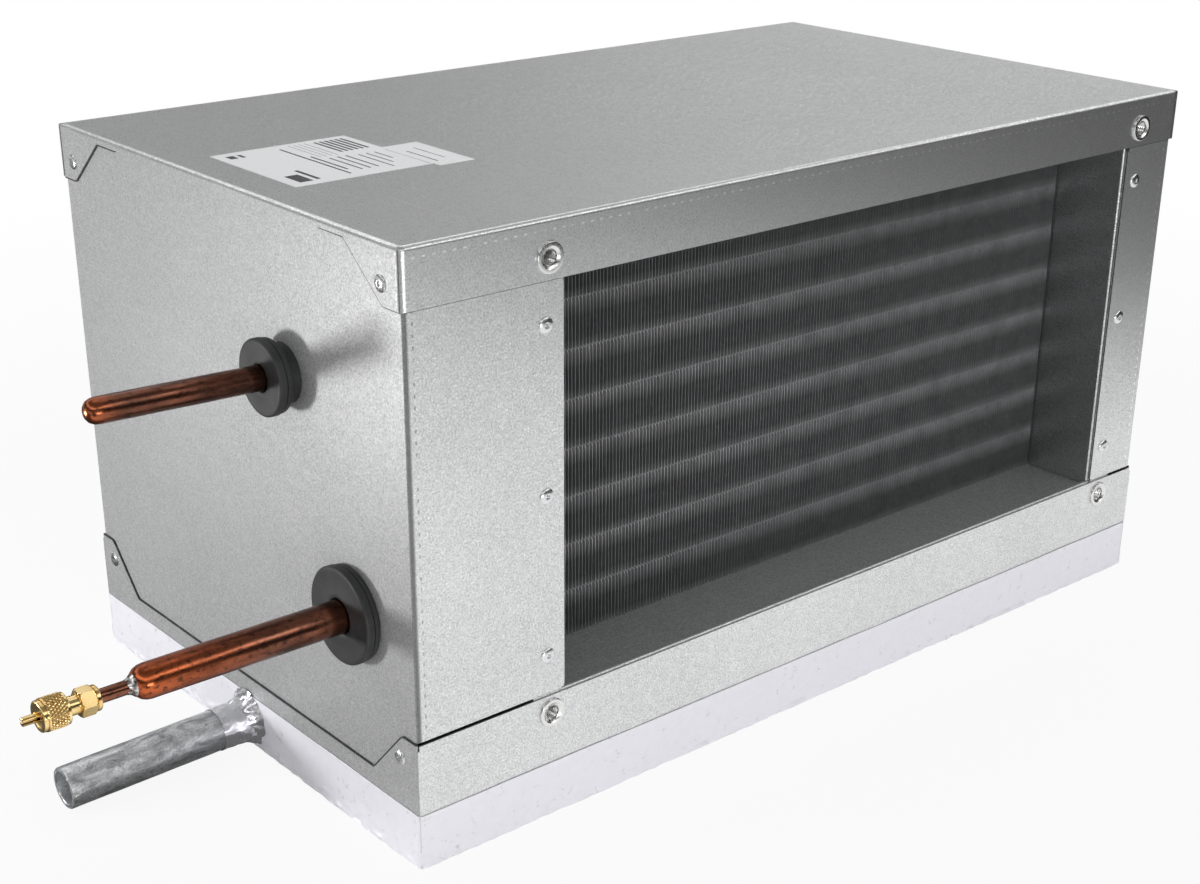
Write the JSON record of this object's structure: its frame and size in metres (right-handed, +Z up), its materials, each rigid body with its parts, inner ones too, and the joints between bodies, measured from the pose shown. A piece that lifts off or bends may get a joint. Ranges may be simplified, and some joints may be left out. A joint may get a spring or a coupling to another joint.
{
  "type": "duct cooling coil",
  "caption": "Galvanised duct section with a finned copper evaporator coil, a drip tray with a drain pipe, two capped copper connections, a service valve and bolt points for a rectangular duct.",
  "frame": {"origin": "centre of the air opening in the inlet plane, which is the centre of the inlet bolt pattern", "axes": "+X to the right as seen from the inlet, away from the pipes; +Y with the air; +Z up"},
  "size_m": [0.6868, 0.3054, 0.2921],
  "materials": {
    "top_cover": "spangled galvanised sheet",
    "drip_tray": "spangled galvanised sheet",
    "left_side_panel": "spangled galvanised sheet",
    "right_side_panel": "spangled galvanised sheet",
    "left_end_plate": "spangled galvanised sheet",
    "right_end_plate": "spangled galvanised sheet",
    "duct_ceiling": "spangled galvanised sheet",
    "duct_floor": "spangled galvanised sheet",
    "inlet_rivet_nuts": "zinc plated",
    "outlet_rivet_nuts": "zinc plated",
    "front_flange_rivets": "bright",
    "rear_flange_rivets": "bright",
    "ear_rivets": "bright",
    "fin_pack": "thin rolled foil",
    "hairpin_tubes": "tarnished copper",
    "return_bends": "tarnished copper",
    "suction_header": "tarnished copper",
    "header_branches": "tarnished copper",
    "suction_pipe": "tarnished copper",
    "liquid_pipe": "tarnished copper",
    "liquid_distributor": "turned brass",
    "distributor_tubes": "tarnished copper",
    "suction_grommet": "matt",
    "liquid_grommet": "matt",
    "drain_pipe": "hot dip zinc",
    "insulation_board": "foil faced foam",
    "foil_tape": "crinkled foil",
    "eliminator_rails": "matt",
    "eliminator_blades": "matt",
    "service_tube": "tarnished copper",
    "service_valve": "bright turned brass",
    "valve_core": "turned brass",
    "core_pin": "turned brass",
    "cap_seal": "matt",
    "valve_cap": "knurled brass",
    "rating_label": "coated paper"
  },
  "bodies": {
    "root": {"top_cover": "top_cover", "drip_tray": "drip_tray", "left_side_panel": "left_side_panel", "right_side_panel": "right_side_panel", "left_end_plate": "left_end_plate", "right_end_plate": "right_end_plate", "duct_ceiling": "duct_ceiling", "duct_floor": "duct_floor", "inlet_rivet_nuts": "inlet_rivet_nuts", "outlet_rivet_nuts": "outlet_rivet_nuts", "front_flange_rivets": "front_flange_rivets", "rear_flange_rivets": "rear_flange_rivets", "ear_rivets": "ear_rivets", "fin_pack": "fin_pack", "hairpin_tubes": "hairpin_tubes", "return_bends": "return_bends", "suction_header": "suction_header", "header_branches": "header_branches", "suction_pipe": "suction_pipe", "liquid_pipe": "liquid_pipe", "liquid_distributor": "liquid_distributor", "distributor_tubes": "distributor_tubes", "suction_grommet": "suction_grommet", "liquid_grommet": "liquid_grommet", "drain_pipe": "drain_pipe", "insulation_board": "insulation_board", "foil_tape": "foil_tape", "eliminator_rails": "eliminator_rails", "eliminator_blades": "eliminator_blades", "service_tube": "service_tube", "service_valve": "service_valve", "valve_core": "valve_core", "rating_label": "rating_label"},
    "cap_seal": {"cap_seal": "cap_seal"},
    "valve_cap": {"valve_cap": "valve_cap"},
    "core_pin": {"core_pin": "core_pin"}
  },
  "joints": [
    {"name": "cap_travel", "type": "slide", "parent": "root", "child": "cap_seal", "axis": [-1, 0, 0], "range_m": [0, 0.0089]},
    {"name": "cap_turn", "type": "hinge", "parent": "cap_seal", "child": "valve_cap", "pos_m": [-0.431, 0.0495, -0.0527], "axis": [-1, 0, 0], "range_deg": [0, 2520]},
    {"name": "core_press", "type": "slide", "parent": "root", "child": "core_pin", "axis": [1, 0, 0], "range_m": [0, 0.0015], "stiffness_N_per_m": 1500}
  ],
  "couplings": [
    {"joint": "cap_travel", "follows": "cap_turn", "m_per_rad": 0.00020213}
  ]
}
